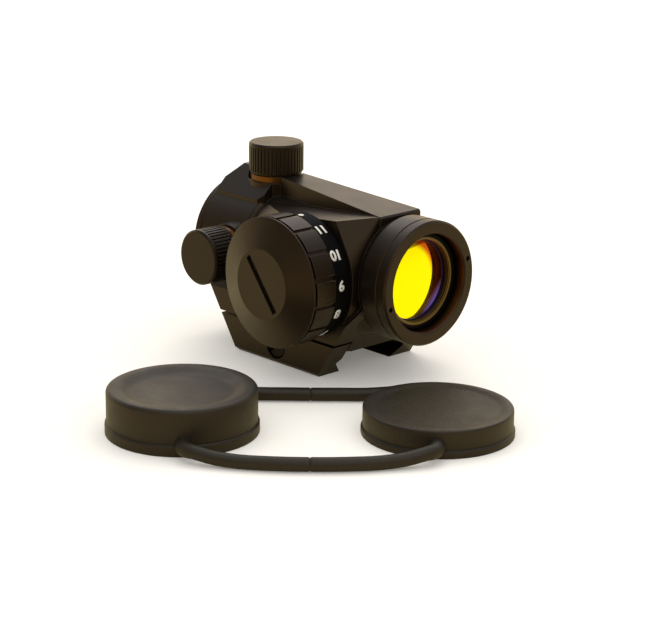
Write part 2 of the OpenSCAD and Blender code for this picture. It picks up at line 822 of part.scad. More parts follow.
module brightness_dial() {
    color(BLACK) on_dial() difference() {
        union() {
            translate([0, 0, dial_low]) cylinder(r1 = band_r - edge, r2 = band_r, h = edge);
            bar(band_r, dial_low + edge, dial_low + dial_band);
            bar(dial_r, dial_low + dial_band, dial_top);
        }
        bar(hub_r + fit_gap, dial_low - over, dial_top);
        bar(cavity_r, web_top, dial_top + over);
        bar(thread_r, tray_ledge, dial_top + over);
        ring(dial_seal_pcr + dial_seal_r + fit_gap, dial_seal_pcr - dial_seal_r - fit_gap,
            dial_top - seal_groove, dial_top + over);
        for (i = [0:dial_grooves - 1])
            rotate((i + 0.5) * 360 / dial_grooves)
                translate([band_r + fit_gap, -groove_w / 2, dial_low + dial_band])
                    cube([dial_r, groove_w, dial_len]);
        // Pocket for the click ball and its spring
        rotate(-90) translate([0, 0, detent_z]) rotate([0, 90, 0])
            bar(detent_r + fit_gap, hub_r, pocket_r);
    }
}

module dial_retainer() {
    color(STEEL) on_dial() difference() {
        ring(hub_r + 0.9, hub_r - clip_depth + fit_gap, clip_low, clip_low + clip_t);
        translate([0, -1.5, clip_low - over]) cube([2 * hub_r, 3, 2 * over + clip_t]);
    }
}

module detent_ball() {
    color(STEEL) on_dial() rotate(-90) translate([ball_pcr, 0, detent_z])
        sphere(r = detent_r, $fn = 32);
}

module detent_spring() {
    color(STEEL) on_dial() rotate(-90) translate([0, 0, detent_z]) rotate([0, 90, 0])
        ring(detent_r - fit_gap, detent_r - 0.2, ball_pcr + detent_r, pocket_r - fit_gap);
}

module switch_board() {
    color("#2f5d3a") on_dial() bar(board_r, hub_top, board_top);
}

module centre_contact() {
    color(BRASS) on_dial() bevelled(1.6, board_top, battery_low - fit_gap, 0.3);
}

module switch_wiper() {
    wiper_w = 30;
    color(BRASS) on_dial() intersection() {
        ring(battery_r, battery_r - 1.2, board_top + fit_gap, tray_low);
        rotate(60) linear_extrude(tray_low) polygon([
            [0, 0], 2 * battery_r * [cos(wiper_w / 2), -sin(wiper_w / 2)],
            2 * battery_r * [cos(wiper_w / 2), sin(wiper_w / 2)]]);
    }
}

module battery_tray() {
    color(DARK) on_dial() difference() {
        union() {
            bar(tray_in_r + tray_wall, tray_low, tray_top);
            bar(thread_r - joint_gap, tray_ledge, tray_top);
        }
        bar(battery_r - 1.4, tray_low - over, tray_top);
        bar(tray_in_r, tray_floor, tray_top + over);
    }
}

module battery() {
    rim_t = 0.6;
    color("#c9ccd0") on_dial() {
        bar(battery_r - 1.1, battery_low, battery_low + rim_t);
        bevelled(battery_r, battery_low + rim_t, battery_top, 0.25);
    }
}

module battery_contact() {
    inset = 2;
    band = 3;
    color(BRASS) on_dial()
        ring(battery_r - inset, battery_r - inset - band, battery_top + fit_gap, cap_ceiling - fit_gap);
}

module battery_cap_seal() {
    color(DARK) on_dial() oring(dial_seal_pcr, dial_seal_r, dial_top - seal_groove + fit_gap + dial_seal_r);
}

module battery_cap() {
    cone_top = flange_top + cap_cone_h;
    color(BLACK) on_dial() difference() {
        union() {
            bar(thread_r - fit_gap, cap_thread_low, flange_low);
            bar(dial_seal_pcr + dial_seal_r, dial_top + free_gap, flange_low);
            bar(dial_r, flange_low, flange_top);
            translate([0, 0, flange_top]) cylinder(r1 = dial_r, r2 = cap_disc_r, h = cap_cone_h);
        }
        bar(battery_r + 1, cap_thread_low - over, cap_ceiling);
        rotate(slot_angle) translate([-slot_len / 2, -slot_w / 2, cone_top - slot_d])
            cube([slot_len, slot_w, slot_d + over]);
    }
}

module clamp_plate() {
    plate_top = seam_h - seam_w;
    foot_bevel = 0.8;
    color(BLACK) difference() {
        intersection() {
            across(-base_half, 0) base_side(foot_z, plate_top);
            along(-base_w * 2, base_w * 2) polygon([
                [-base_half, plate_top], [-base_half, foot_z + foot_bevel],
                [-base_half + foot_bevel, foot_z], [-lip_y, foot_z], [-apex_y, apex_z],
                [-plate_y, lip_y - plate_y], [-plate_y, plate_top]]);
        }
        translate([0, 0, -bolt_drop]) rotate([90, 0, 0]) {
            bar(bolt_r + fit_gap, 0, base_half);
            bar(head_r + 0.2, head_seat_y, base_half + over);
        }
    }
}

module clamp_bolt() {
    color(DARK) translate([0, 0, -bolt_drop]) rotate([90, 0, 0]) difference() {
        union() {
            bar(bolt_r, -base_half + 0.6, head_seat_y + fit_gap);
            bevelled(head_r, head_seat_y + fit_gap, head_seat_y + fit_gap + head_t, 0.3);
        }
        rotate(35) translate([-2 * head_r, -driver_slot / 2, head_seat_y + head_t - 0.9])
            cube([4 * head_r, driver_slot, 2]);
    }
}

// Stub with an elbow that turns towards the other cover
module cover_stub(turn) {
    start = cover_r - cover_wall / 3;
    translate([0, 0, stub_z]) rotate([0, 0, -stub_angle]) {
        translate([start, 0, 0]) rotate([0, 90, 0]) cylinder(r = stub_r, h = stub_len, $fn = 32);
        translate([start + stub_len, elbow_r, 0]) rotate([0, 0, -90])
            rotate_extrude(angle = turn) translate([elbow_r, 0]) circle(r = stub_r, $fn = 32);
    }
}
module cover_stubs() {
    cover_stub(front_turn);
    mirror([0, 1, 0]) cover_stub(back_turn);
}

module objective_cover() {
    dish_r = cover_r - dish_rim;
    inner_top = deep_h - dish_d - cover_top;
    color(RUBBER) on_objective_cover() {
        rotate_extrude() polygon(concat(
            [[cover_in_r, 0], [cover_r + bead_w, 0], [cover_r + bead_w, deep_bead_h - bead_step],
                [cover_r, deep_bead_h]],
            arc([cover_r - cover_round, deep_h - cover_round], cover_round, 0, 90),
            [[dish_r + dish_d, deep_h], [dish_r, deep_h - dish_d], [0, deep_h - dish_d], [0, inner_top],
                [cover_in_r - edge, inner_top], [cover_in_r, inner_top - edge]]));
        cover_stubs();
    }
}

module eyepiece_cover() {
    sink = 0.4;
    inner_top = shallow_h - sink - cover_top;
    in_r = rear_bell_r + fit_gap;
    color(RUBBER) on_eyepiece_cover() {
        rotate_extrude() polygon(concat(
            [[in_r, 0], [cover_r + bead_w, 0], [cover_r + bead_w, shallow_bead_h - bead_step],
                [cover_r, shallow_bead_h]],
            arc([cover_r - cover_round, shallow_h - cover_round], cover_round, 0, 90),
            [[cover_r - 2 * cover_round, shallow_h], [cover_r - 4 * cover_round, shallow_h - sink],
                [0, shallow_h - sink], [0, inner_top], [in_r - edge, inner_top],
                [in_r, inner_top - edge]]));
        cover_stubs();
    }
}

module cover_cord_front() {
    color(RUBBER) on_cover_row() swept(smooth(front_route, 2), cord_r, 8);
}

module cover_cord_back() {
    color(RUBBER) on_cover_row() swept(smooth(back_route, 2), cord_r, 8);
}

housing();
objective_bezel();
objective_seal();
eyepiece_bezel();
eyepiece_window();
eyepiece_seal();
inner_tube();
objective_lens();
lens_retainer();
pivot_ring();
tube_spring();
led_holder();
led_emitter();
led_lead();
elevation_bush();
elevation_drum();
elevation_plunger();
elevation_cap_seal();
elevation_cap();
windage_bush();
windage_drum();
windage_plunger();
windage_cap_seal();
windage_cap();
brightness_dial();
dial_retainer();
detent_ball();
detent_spring();
switch_board();
centre_contact();
switch_wiper();
battery_tray();
battery();
battery_contact();
battery_cap_seal();
battery_cap();
clamp_plate();
clamp_bolt();
objective_cover();
eyepiece_cover();
cover_cord_front();
cover_cord_back();
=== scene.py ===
import bmesh
import bpy
import math
from mathutils import Matrix, Quaternion, Vector


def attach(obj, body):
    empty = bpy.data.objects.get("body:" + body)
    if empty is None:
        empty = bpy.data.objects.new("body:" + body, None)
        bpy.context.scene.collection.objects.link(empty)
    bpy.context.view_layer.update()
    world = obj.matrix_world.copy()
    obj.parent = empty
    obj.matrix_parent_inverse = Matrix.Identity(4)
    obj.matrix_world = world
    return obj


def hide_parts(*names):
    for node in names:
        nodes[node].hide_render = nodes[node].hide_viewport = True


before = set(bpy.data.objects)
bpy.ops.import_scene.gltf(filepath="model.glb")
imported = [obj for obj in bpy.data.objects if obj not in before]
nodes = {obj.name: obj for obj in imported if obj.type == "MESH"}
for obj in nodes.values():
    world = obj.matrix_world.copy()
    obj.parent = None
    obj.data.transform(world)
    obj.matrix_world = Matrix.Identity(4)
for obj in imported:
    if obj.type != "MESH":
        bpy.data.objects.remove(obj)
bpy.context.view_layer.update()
scene = bpy.context.scene
mm = 0.001


def linear(hexColour):
    parts = [int(hexColour[i:i + 2], 16) / 255 for i in (1, 3, 5)]
    return tuple(c / 12.92 if c <= 0.04045 else ((c + 0.055) / 1.055) ** 2.4 for c in parts) + (1.0,)


def addNode(tree, kind, values=None, **settings):
    node = tree.nodes.new(kind)
    for name, value in settings.items():
        setattr(node, name, value)
    for name, value in (values or {}).items():
        socket = node.inputs[name]
        if isinstance(value, bpy.types.NodeSocket):
            tree.links.new(value, socket)
        else:
            socket.default_value = value
    return node


def newMaterial(name):
    made = bpy.data.materials.new(name)
    made.use_nodes = True
    made.node_tree.nodes.clear()
    return made, made.node_tree


def closeMaterial(tree, shader):
    addNode(tree, "ShaderNodeOutputMaterial", {"Surface": shader.outputs[0]})


def perMm(size):  # texture scale that gives one feature for each so many millimetres
    return 1 / (size * mm)


def addObject(name, mesh):
    made = bpy.data.objects.new(name, mesh)
    scene.collection.objects.link(made)
    return made


def smoothMesh(mesh, sharpDegrees):
    mesh.shade_smooth()
    mesh.set_sharp_from_angle(angle=math.radians(sharpDegrees))


# camera, fitted to the photograph's edges
cameraView = {"place": (308.32, -291.11, 129.09), "azimuth": 46.29, "elevation": 16.5, "roll": 0.68,
              "lens": 102.09, "sensor": 36, "near": 0.01, "far": 20}
azimuth, elevation = math.radians(cameraView["azimuth"]), math.radians(cameraView["elevation"])
backward = Vector((math.sin(azimuth) * math.cos(elevation), -math.cos(azimuth) * math.cos(elevation),
                   math.sin(elevation)))
cameraData = bpy.data.cameras.new("photoCamera")
cameraData.lens = cameraView["lens"]
cameraData.sensor_width = cameraView["sensor"]
cameraData.clip_start, cameraData.clip_end = cameraView["near"], cameraView["far"]
camera = addObject("photoCamera", cameraData)
camera.location = Vector(cameraView["place"]) * mm
camera.rotation_mode = "QUATERNION"
rollTurn = Quaternion((0, 0, 1), math.radians(cameraView["roll"]))
camera.rotation_quaternion = (-backward).to_track_quat("-Z", "Y") @ rollTurn
scene.camera = camera
print("camera set")

# covers' own frame, lying on the ground in front of the finder
coverRow = {"away": 55.27, "bearing": -46.0, "turn": 47.0, "ground": -5.5, "spacing": 52.6}
bearing = math.radians(coverRow["bearing"])
rowPlace = Matrix.Translation((coverRow["away"] * math.cos(bearing), coverRow["away"] * math.sin(bearing),
                               coverRow["ground"])) @ Matrix.Rotation(math.radians(coverRow["turn"]), 4, "Z")


def inRow(point):  # from the covers' frame in millimetres to the part's frame in metres
    return (rowPlace @ Vector(point)) * mm


def wholeRoute(half, middle):  # a half route and its mirror image
    return half + [middle] + [(-x, y, z) for x, y, z in reversed(half)]


def smoothRoute(points, steps):  # Catmull-Rom through the route's points
    p = [Vector(q) for q in points]
    out = []
    for i in range(len(p) - 1):
        a, b, c, d = p[max(i - 1, 0)], p[i], p[i + 1], p[min(i + 2, len(p) - 1)]
        for k in range(steps):
            t = k / steps
            out.append(0.5 * (2 * b + (c - a) * t + (2 * a - 5 * b + 4 * c - d) * t * t
                              + (3 * b - a - 3 * c + d) * t * t * t))
    return out + [p[-1]]


# rubber surfaces; sizes in millimetres
rubberSkin = {"bloom": 7, "dullSpread": 0.06, "grainStrength": 0.6, "grainDepth": 0.08, "gloss": 0.32,
              "sheen": "#ffe6c2"}


def rubber(name, dark, light, roughness, grain):
    # moulded black rubber: dull and a little dusty, so it greys towards the light and never mirrors it
    made, tree = newMaterial(name)
    place = addNode(tree, "ShaderNodeTexCoord")
    bloom = addNode(tree, "ShaderNodeTexNoise", {"Vector": place.outputs["Object"],
                                                 "Scale": perMm(rubberSkin["bloom"]),
                                                 "Detail": 5.0, "Roughness": 0.6})
    tone = addNode(tree, "ShaderNodeMix", {"Factor": bloom.outputs["Fac"], "A": linear(dark), "B": linear(light)},
                   data_type="RGBA")
    dull = addNode(tree, "ShaderNodeMapRange", {"Value": bloom.outputs["Fac"], "From Min": 0.3, "From Max": 0.7,
                                                "To Min": roughness - rubberSkin["dullSpread"],
                                                "To Max": roughness + rubberSkin["dullSpread"]})
    skin = addNode(tree, "ShaderNodeTexNoise", {"Vector": place.outputs["Object"], "Scale": perMm(grain),
                                                "Detail": 3.0})
    bump = addNode(tree, "ShaderNodeBump", {"Height": skin.outputs["Fac"], "Strength": rubberSkin["grainStrength"],
                                            "Distance": rubberSkin["grainDepth"] * mm})
    shader = addNode(tree, "ShaderNodeBsdfPrincipled", {
        "Base Color": tone.outputs["Result"], "Roughness": dull.outputs["Result"], "IOR": 1.5,
        "Specular IOR Level": rubberSkin["gloss"], "Specular Tint": linear(rubberSkin["sheen"]),
        "Normal": bump.outputs["Normal"]})
    closeMaterial(tree, shader)
    return made


coverRubber = rubber("mouldedCoverRubber", "#1a1610", "#252018", 0.5, 0.6)  # grain drawn coarser than 0.1 mm to show
cordRubber = rubber("extrudedCordRubber", "#181510", "#23201a", 0.46, 0.35)
sealRubber = rubber("nitrileSealRubber", "#0c0b0a", "#14120f", 0.4, 0.3)

# elastic cords between the covers
coverCords = {
    "radius": 1.45, "sides": 20, "rings": 161, "jointDepth": 0.12, "jointShare": 0.0035, "smoothSteps": 2,
    "front": {"half": [(-23.2, -19.3, 2.6), (-21.5, -19.9, 2.3), (-18.5, -20.8, 1.8), (-14, -21.8, 1.5),
                       (-9.5, -22.5, 1.5), (-4.5, -22.9, 1.5)], "middle": (0, -23, 1.5)},
    "back": {"half": [(-22.4, 19.5, 2.6), (-20.5, 19.5, 2.3), (-17, 19.4, 1.8), (-12, 19.2, 1.5),
                      (-6, 19.1, 1.5)], "middle": (0, 19, 1.5)},
}


def cordTree():
    tree = bpy.data.node_groups.new("cordAlongRoute", "GeometryNodeTree")
    face = tree.interface
    face.new_socket("Geometry", in_out="INPUT", socket_type="NodeSocketGeometry")
    for name, kind in (("Radius", "NodeSocketFloat"), ("Rings", "NodeSocketInt"), ("Sides", "NodeSocketInt"),
                       ("Joint depth", "NodeSocketFloat"), ("Joint share", "NodeSocketFloat"),
                       ("Material", "NodeSocketMaterial")):
        face.new_socket(name, in_out="INPUT", socket_type=kind)
    face.new_socket("Geometry", in_out="OUTPUT", socket_type="NodeSocketGeometry")
    given = addNode(tree, "NodeGroupInput").outputs
    even = addNode(tree, "GeometryNodeResampleCurve", {"Curve": given["Geometry"], "Count": given["Rings"]})
    along = addNode(tree, "GeometryNodeSplineParameter")
    offMiddle = addNode(tree, "ShaderNodeMath", {0: along.outputs["Factor"], 1: 0.5}, operation="SUBTRACT")
    distance = addNode(tree, "ShaderNodeMath", {0: offMiddle.outputs[0]}, operation="ABSOLUTE")
    joint = addNode(tree, "ShaderNodeMath", {0: distance.outputs[0], 1: given["Joint share"]}, operation="LESS_THAN")
    cut = addNode(tree, "ShaderNodeMath", {0: joint.outputs[0], 1: given["Joint depth"]}, operation="MULTIPLY")
    share = addNode(tree, "ShaderNodeMath", {0: 1.0, 1: cut.outputs[0]}, operation="SUBTRACT")
    outline = addNode(tree, "GeometryNodeCurvePrimitiveCircle", {"Resolution": given["Sides"],
                                                                 "Radius": given["Radius"]})
    tube = addNode(tree, "GeometryNodeCurveToMesh", {"Curve": even.outputs[0], "Profile Curve": outline.outputs[0],
                                                     "Scale": share.outputs[0], "Fill Caps": True})
    real = addNode(tree, "GeometryNodeRealizeInstances", {"Geometry": tube.outputs[0]})
    painted = addNode(tree, "GeometryNodeSetMaterial", {"Geometry": real.outputs[0], "Material": given["Material"]})
    addNode(tree, "NodeGroupOutput", {"Geometry": painted.outputs[0]})
    return tree


def applyTree(source, tree, values, name):
    held = source.modifiers.new("shape", "NODES")
    held.node_group = tree
    keys = {item.name: item.identifier for item in tree.interface.items_tree if item.in_out == "INPUT"}
    for key, value in values.items():
        held[keys[key]] = value
    graph = bpy.context.evaluated_depsgraph_get()
    mesh = bpy.data.meshes.new_from_object(source.evaluated_get(graph))
    source.modifiers.remove(held)
    bpy.data.objects.remove(source)
    mesh.name = name
    return mesh


cordShape = cordTree()
for side in ("front", "back"):
    stations = wholeRoute(coverCords[side]["half"], coverCords[side]["middle"])
    route = [inRow(p) for p in smoothRoute(stations, coverCords["smoothSteps"])]
    line = bpy.data.curves.new("cordLine", "CURVE")
    line.dimensions = "3D"
    spline = line.splines.new("POLY")
    spline.points.add(len(route) - 1)
    for point, where in zip(spline.points, route):
        point.co = (*where, 1)
    mesh = applyTree(addObject("cordLine", line), cordShape, {
        "Radius": coverCords["radius"] * mm, "Rings": coverCords["rings"], "Sides": coverCords["sides"],
        "Joint depth": coverCords["jointDepth"], "Joint share": coverCords["jointShare"], "Material": cordRubber},
        "coverCord_" + side)
    smoothMesh(mesh, 40)
    cord = addObject("coverCord_" + side, mesh)
    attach(cord, "cover_set")
    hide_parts("cover_cord_" + side)
print("cords laid")


# rubber covers, turned from a soft profile, with their elbows fused on
def turned(profile, segments):
    shape = bmesh.new()
    rings = []
    for r, z in profile:
        if r < 1e-6:
            rings.append([shape.verts.new((0, 0, z))])
        else:
            rings.append([shape.verts.new((r * math.cos(2 * math.pi * k / segments),
                                           r * math.sin(2 * math.pi * k / segments), z)) for k in range(segments)])
    for low, high in zip(rings, rings[1:]):
        for k in range(segments):
            n = (k + 1) % segments
            if len(low) == 1:
                shape.faces.new((low[0], high[n], high[k]))
            elif len(high) == 1:
                shape.faces.new((low[k], low[n], high[0]))
            else:
                shape.faces.new((low[k], low[n], high[n], high[k]))
    bmesh.ops.recalc_face_normals(shape, faces=shape.faces)
    return shape


def tubeAlong(points, radii, sides):
    shape = bmesh.new()
    rings = []
    for i, here in enumerate(points):
        ahead = (points[min(i + 1, len(points) - 1)] - points[max(i - 1, 0)]).normalized()
        side = ahead.cross(Vector((0, 0, 1))).normalized()
        rise = side.cross(ahead)
        rings.append([shape.verts.new(here + radii[i] * (side * math.cos(2 * math.pi * k / sides)
                                                         + rise * math.sin(2 * math.pi * k / sides)))
                      for k in range(sides)])
    for a, b in zip(rings, rings[1:]):
        for k in range(sides):
            n = (k + 1) % sides
            shape.faces.new((a[k], a[n], b[n], b[k]))
    shape.faces.new(rings[0])
    shape.faces.new(rings[-1])
    bmesh.ops.recalc_face_normals(shape, faces=shape.faces)
    return shape


def roundCorner(centre, radius, start, end, steps=6):
    return [(centre[0] + radius * math.cos(math.radians(start + (end - start) * i / steps)),
             centre[1] + radius * math.sin(math.radians(start + (end - start) * i / steps))) for i in range(steps + 1)]


def easeRow(r0, z0, r1, z1, steps=8):  # soft S between two points of a profile
    out = []
    for i in range(1, steps):
        t = i / steps
        e = t * t * (3 - 2 * t)
        out.append((r0 + (r1 - r0) * t, z0 + (z1 - z0) * e))
    return out


coverShape = {
    "segments": 160, "outer": 15.6, "bead": 0.35, "stubHeight": 2.6, "stubAngle": 86, "stubStart": 15.0,
    "stubStraight": 1.58, "elbow": 3.2, "stubRadius": 1.62, "rootFlare": 0.5, "endRadius": 1.49, "stubSides": 32,
    "frontTurn": 68, "backTurn": 84, "ceilingCorner": 0.4, "mouthRise": 0.25, "mouthFlare": 0.2, "beadRound": 0.2,
    "rimShare": 0.45, "dishRings": 6,
    "objective": {"inner": 14.05, "height": 9.6, "beadHeight": 2.3, "corner": 0.95, "ceiling": 7.7, "side": -1,
                  "rim": 2.1, "edge": 3.5, "dish": 0.9, "sag": 0.12},
    "eyepiece": {"inner": 13.85, "height": 5.8, "beadHeight": 1.5, "corner": 0.45, "ceiling": 4.4, "side": 1,
                 "rim": 0.8, "edge": 2.4, "dish": 0.42, "sag": 0.4},
}


def coverProfile(cover):
    outer, inner, top = coverShape["outer"], cover["inner"], cover["height"]
    wide, beadTop, ease = outer + coverShape["bead"], cover["beadHeight"], coverShape["beadRound"]
    ceiling, corner, rings = cover["ceiling"], coverShape["ceilingCorner"], coverShape["dishRings"]
    flat = top - cover["dish"]
    points = [(0, ceiling), (inner - corner, ceiling), (inner, ceiling - corner)]
    points += [(inner, coverShape["mouthRise"]), (inner + coverShape["mouthFlare"], 0)]
    points += [(wide - ease, 0)] + roundCorner((wide - ease, ease), ease, -60, 0, 3)
    points += [(wide, beadTop - 0.35)] + roundCorner((wide - ease, beadTop - 0.3), ease, 10, 80, 3)
    points += [(outer - 0.02, beadTop + 0.02), (outer - 0.1, beadTop + 0.12), (outer, beadTop + 0.32)]  # nip
    points += roundCorner((outer - cover["corner"], top - cover["corner"]), cover["corner"], 0, 90, 8)
    start = outer - cover["corner"] - cover["rim"] * coverShape["rimShare"]
    end = outer - cover["edge"] - cover["rim"]
    points += [(start, top)] + easeRow(start, top, end, flat) + [(end, flat)]
    points += [(end * k / rings, flat - cover["sag"] * (1 - (k / rings) ** 2)) for k in range(rings - 1, -1, -1)]
    return points


def elbowLine(front):
    turn = math.radians(coverShape["frontTurn"] if front else coverShape["backTurn"])
    begin, straight, radius = coverShape["stubStart"], coverShape["stubStraight"], coverShape["elbow"]
    local = [(begin + straight * k / 4, 0) for k in range(4)]
    local += [(begin + straight + radius * math.sin(turn * k / 12), radius - radius * math.cos(turn * k / 12))
              for k in range(13)]
    swing = math.radians(-coverShape["stubAngle"])
    out = []
    for x, y in local:
        u, v = x * math.cos(swing) - y * math.sin(swing), x * math.sin(swing) + y * math.cos(swing)
        out.append(Vector((u, v if front else -v, coverShape["stubHeight"])))
    return out


def elbowRadii(count):
    base, end, flare = coverShape["stubRadius"], coverShape["endRadius"], coverShape["rootFlare"]
    return [base + (end - base) * i / (count - 1) + flare * max(0, 1 - i / 3) ** 2 for i in range(count)]


def fuse(target, stub):
    held = target.modifiers.new("fuse", "BOOLEAN")
    held.operation, held.solver, held.object = "UNION", "EXACT", stub
    graph = bpy.context.evaluated_depsgraph_get()
    mesh = bpy.data.meshes.new_from_object(target.evaluated_get(graph))
    target.modifiers.remove(held)
    bpy.data.objects.remove(stub)
    target.data = mesh


for which in ("objective", "eyepiece"):
    cover = coverShape[which]
    offset = Matrix.Translation((cover["side"] * coverRow["spacing"] / 2, 0, 0))
    flip = Matrix.Scale(-cover["side"], 4, (1, 0, 0))  # the eyepiece cover is the mirror image
    place = Matrix.Scale(mm, 4) @ rowPlace @ offset @ flip
    pieces = [turned(coverProfile(cover), coverShape["segments"])]
    for front in (True, False):
        line = elbowLine(front)
        pieces.append(tubeAlong(line, elbowRadii(len(line)), coverShape["stubSides"]))
    made = []
    for shape in pieces:
        mesh = bpy.data.meshes.new("coverPiece")
        shape.to_mesh(mesh)
        shape.free()
        made.append(addObject("coverPiece", mesh))
    for stub in made[1:]:
        fuse(made[0], stub)
    mesh = made[0].data
    mesh.transform(place)
    if cover["side"] > 0:
        mesh.flip_normals()
    mesh.name = which + "Cover"
    smoothMesh(mesh, 32)
    mesh.materials.clear()
    mesh.materials.append(coverRubber)
    made[0].name = which + "Cover"
    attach(made[0], "cover_set")
    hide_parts(which + "_cover")
print("covers turned")


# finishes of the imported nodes; sizes in millimetres
anodising = {"mottle": 9, "grain": 0.22, "grainStrength": 0.12, "grainDepth": 0.03, "edge": 0.16,
             "edgeWearAndLightFrom": 0.97, "edgeWearAndLightTo": 0.8, "edgeWearAndLightShare": 0.45, "rubbedEdgeAndHighlightTone": "#7d6f5b", "satinSpread": 0.04,
             "turning": 2.2, "turningStrength": 0.08, "turningDepth": 0.02, "boreEdge": 0.1, "boreShadeTone": "#020101",
             "sheen": "#ffd2a0"}


def anodised(name, dark, light, roughness, lathe=None, boreLightAndShade=None, gloss=0.3):
    # black anodised aluminium, bead blasted: near black, satin, with a faint warm sheen, and edges lightened both as
    # rubbed wear and as a painted edge highlight
    made, tree = newMaterial(name)
    place = addNode(tree, "ShaderNodeTexCoord")
    mottle = addNode(tree, "ShaderNodeTexNoise", {"Vector": place.outputs["Object"],
                                                  "Scale": perMm(anodising["mottle"]),
                                                  "Detail": 4.0, "Roughness": 0.55})
    tone = addNode(tree, "ShaderNodeMix", {"Factor": mottle.outputs["Fac"], "A": linear(dark), "B": linear(light)},
                   data_type="RGBA")
    # blast grain is about 0.05 mm; drawn coarser so that it shows
    grain = addNode(tree, "ShaderNodeTexNoise", {"Vector": place.outputs["Object"],
                                                 "Scale": perMm(anodising["grain"]), "Detail": 2.0})
    rounded = addNode(tree, "ShaderNodeBevel", {"Radius": anodising["edge"] * mm}, samples=6)
    facing = addNode(tree, "ShaderNodeNewGeometry")
    # edges lightened both as rubbed wear and as a painted edge highlight
    turnOff = addNode(tree, "ShaderNodeVectorMath", {0: rounded.outputs["Normal"], 1: facing.outputs["True Normal"]},
                      operation="DOT_PRODUCT")
    rubbedAndLitEdge = addNode(tree, "ShaderNodeMapRange", {"Value": turnOff.outputs["Value"],
                                                  "From Min": anodising["edgeWearAndLightFrom"], "From Max": anodising["edgeWearAndLightTo"],
                                                  "To Min": 0.0, "To Max": anodising["edgeWearAndLightShare"]})
    patchy = addNode(tree, "ShaderNodeMath", {0: rubbedAndLitEdge.outputs["Result"], 1: mottle.outputs["Fac"]},
                     operation="MULTIPLY")
    wornAndLitEdges = addNode(tree, "ShaderNodeMix", {"Factor": patchy.outputs[0], "A": tone.outputs["Result"],
                                           "B": linear(anodising["rubbedEdgeAndHighlightTone"])}, data_type="RGBA")
    satin = addNode(tree, "ShaderNodeMapRange", {"Value": mottle.outputs["Fac"], "From Min": 0.3, "From Max": 0.7,
                                                 "To Min": roughness - anodising["satinSpread"],
                                                 "To Max": roughness + anodising["satinSpread"]})
    bump = addNode(tree, "ShaderNodeBump", {"Height": grain.outputs["Fac"], "Normal": rounded.outputs["Normal"],
                                            "Strength": anodising["grainStrength"],
                                            "Distance": anodising["grainDepth"] * mm})
    shown = wornAndLitEdges
    if boreLightAndShade:  # painted light and shade inside the bore: a red-brown glow of the lens's light near the mouth, fading to painted shade deeper in
        bore = addNode(tree, "ShaderNodeMapping", {"Vector": place.outputs["Object"], "Scale": (0, 1, 1),
                                                   "Location": (0, 0, -lathe["centre"][2] * mm)})
        reachOut = addNode(tree, "ShaderNodeVectorMath", {0: bore.outputs[0]}, operation="LENGTH")
        inside = addNode(tree, "ShaderNodeMapRange", {"Value": reachOut.outputs["Value"], "To Min": 1.0, "To Max": 0.0,
                                                      "From Min": boreLightAndShade["radius"] * mm,
                                                      "From Max": (boreLightAndShade["radius"] + anodising["boreEdge"]) * mm})
        apart = addNode(tree, "ShaderNodeSeparateXYZ", {0: place.outputs["Object"]})
        nearMouth = addNode(tree, "ShaderNodeMapRange", {"Value": apart.outputs["X"],
                                                         "From Min": boreLightAndShade["deep"] * mm,
                                                         "From Max": boreLightAndShade["mouth"] * mm})
        boreLitToShaded = addNode(tree, "ShaderNodeMix", {"Factor": nearMouth.outputs["Result"],
                                                "A": linear(anodising["boreShadeTone"]),
                                                "B": linear(boreLightAndShade["tone"])}, data_type="RGBA")
        shown = addNode(tree, "ShaderNodeMix", {"Factor": inside.outputs["Result"], "A": wornAndLitEdges.outputs["Result"],
                                                "B": boreLitToShaded.outputs["Result"]}, data_type="RGBA")
    if lathe:  # turning marks, 0.1 mm apart on the real face, drawn coarser so that they show
        centred = addNode(tree, "ShaderNodeMapping", {"Vector": place.outputs["Object"],
                                                      "Location": [-c * mm for c in lathe["centre"]]})
        marks = addNode(tree, "ShaderNodeTexWave", {"Vector": centred.outputs[0], "Distortion": 0.0,
                                                    "Scale": perMm(anodising["turning"]) * math.tau / 20},
                        wave_type="RINGS", rings_direction=lathe["axis"], wave_profile="SIN")  # 20 radians a unit
        bump = addNode(tree, "ShaderNodeBump", {"Height": marks.outputs["Fac"], "Normal": bump.outputs["Normal"],
                                                "Strength": anodising["turningStrength"],
                                                "Distance": anodising["turningDepth"] * mm})
    shader = addNode(tree, "ShaderNodeBsdfPrincipled", {
        "Base Color": shown.outputs["Result"], "Roughness": satin.outputs["Result"], "IOR": 1.5,
        "Specular IOR Level": gloss, "Specular Tint": linear(anodising["sheen"]), "Normal": bump.outputs["Normal"]})
    closeMaterial(tree, shader)
    return made


bareMetal = {"tarnish": 2.5, "dullSpread": 0.08, "edge": 0.1}


def turnedMetal(name, dark, light, roughness):
    # bare turned metal: bright, with soft tarnish patches
    made, tree = newMaterial(name)
    place = addNode(tree, "ShaderNodeTexCoord")
    patch = addNode(tree, "ShaderNodeTexNoise", {"Vector": place.outputs["Object"],
                                                 "Scale": perMm(bareMetal["tarnish"]), "Detail": 4.0})
    tone = addNode(tree, "ShaderNodeMix", {"Factor": patch.outputs["Fac"], "A": linear(dark), "B": linear(light)},
                   data_type="RGBA")
    dull = addNode(tree, "ShaderNodeMapRange", {"Value": patch.outputs["Fac"], "From Min": 0.3, "From Max": 0.7,
                                                "To Min": roughness - bareMetal["dullSpread"],
                                                "To Max": roughness + bareMetal["dullSpread"]})
    rounded = addNode(tree, "ShaderNodeBevel", {"Radius": bareMetal["edge"] * mm}, samples=4)
    shader = addNode(tree, "ShaderNodeBsdfPrincipled", {
        "Base Color": tone.outputs["Result"], "Roughness": dull.outputs["Result"], "Metallic": 1.0,
        "Normal": rounded.outputs["Normal"]})
    closeMaterial(tree, shader)
    return made


